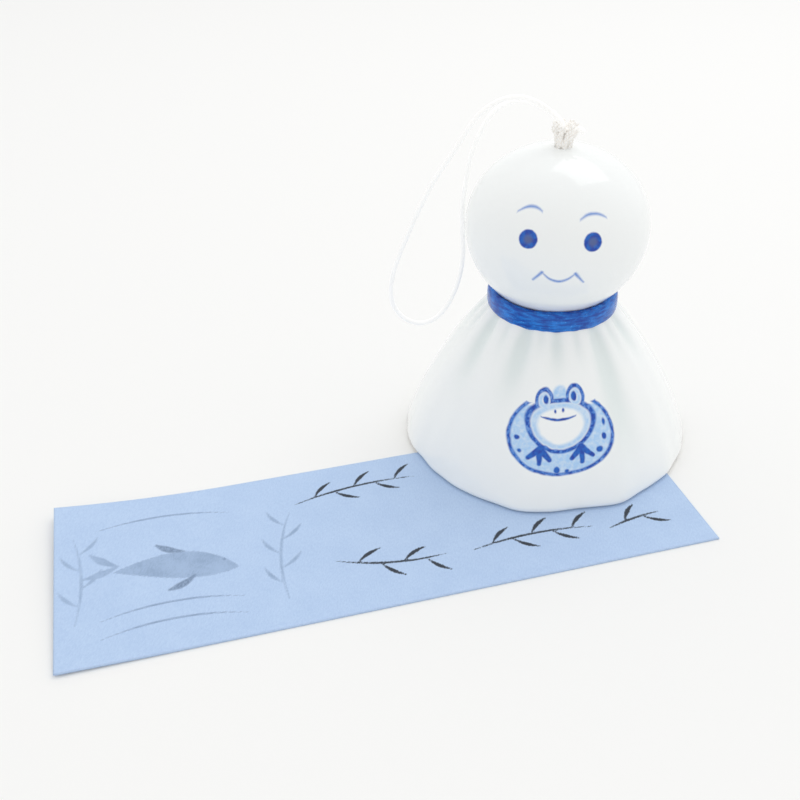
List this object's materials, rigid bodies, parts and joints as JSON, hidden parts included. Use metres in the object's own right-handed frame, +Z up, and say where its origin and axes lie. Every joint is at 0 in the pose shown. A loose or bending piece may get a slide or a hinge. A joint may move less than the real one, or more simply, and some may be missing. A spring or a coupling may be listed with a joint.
{
  "type": "porcelain wind bell",
  "caption": "Doll-shaped glazed porcelain wind bell with a swinging clapper, a cord loop to hang it by and a paper strip as wind vane, standing on the strip.",
  "frame": {"origin": "on the bell's axis, at the level of the table under the paper strip", "axes": "+Z up along the bell's axis, -Y towards the bell's painted front, +X to the right seen from the front"},
  "size_m": [0.1806, 0.1581, 0.103],
  "materials": {
    "porcelain": "clear glossy glaze, slightly cool white",
    "cobalt": "uneven brushed cobalt under clear glaze",
    "cord": "white braided cord",
    "thread": "thin twisted white thread",
    "wood": "plain turned wood",
    "paper": "pale blue fibrous paper with an ink drawing"
  },
  "bodies": {
    "bell": {"bell_shell": "porcelain", "neck_ribbon": "cobalt", "top_knot": "cord", "cord_tail": "cord", "crown_strands": "cord", "stop_bead": "wood", "inner_knot": "cord", "strip_thread": "thread"},
    "hanger": {"hanging_loop": "cord"},
    "line_turn": {"line_knot": "thread"},
    "clapper": {"clapper_line": "thread", "clapper": "porcelain", "clapper_knot": "thread"},
    "strip_tie": {"strip_knot": "thread"},
    "strip": {"paper_strip": "paper"}
  },
  "joints": [
    {"name": "loop_lift", "type": "hinge", "parent": "bell", "child": "hanger", "pos_m": [-0.002, 0, 0.0973], "axis": [0, 1, 0], "range_deg": [0, 100], "deforming": ["hanging_loop"]},
    {"name": "clapper_turn", "type": "hinge", "parent": "bell", "child": "line_turn", "pos_m": [0, 0, 0.0791], "axis": [0, 0, 1], "continuous": true},
    {"name": "clapper_swing", "type": "hinge", "parent": "line_turn", "child": "clapper", "pos_m": [0, 0, 0.0791], "axis": [0, 1, 0], "range_deg": [-16.5, 16.5]},
    {"name": "strip_lower", "type": "slide", "parent": "bell", "child": "strip_tie", "axis": [-0.5096, 0.4186, -0.7517], "range_m": [0, 0.05494], "deforming": ["strip_thread"]},
    {"name": "strip_tip", "type": "hinge", "parent": "strip_tie", "child": "strip", "pos_m": [0.028, -0.023, 0.0018], "axis": [0.4067, -0.9135, 0], "range_deg": [0, 90]}
  ],
  "couplings": [
    {"joint": "strip_tip", "follows": "strip_lower", "rad_per_m": 28.59}
  ]
}
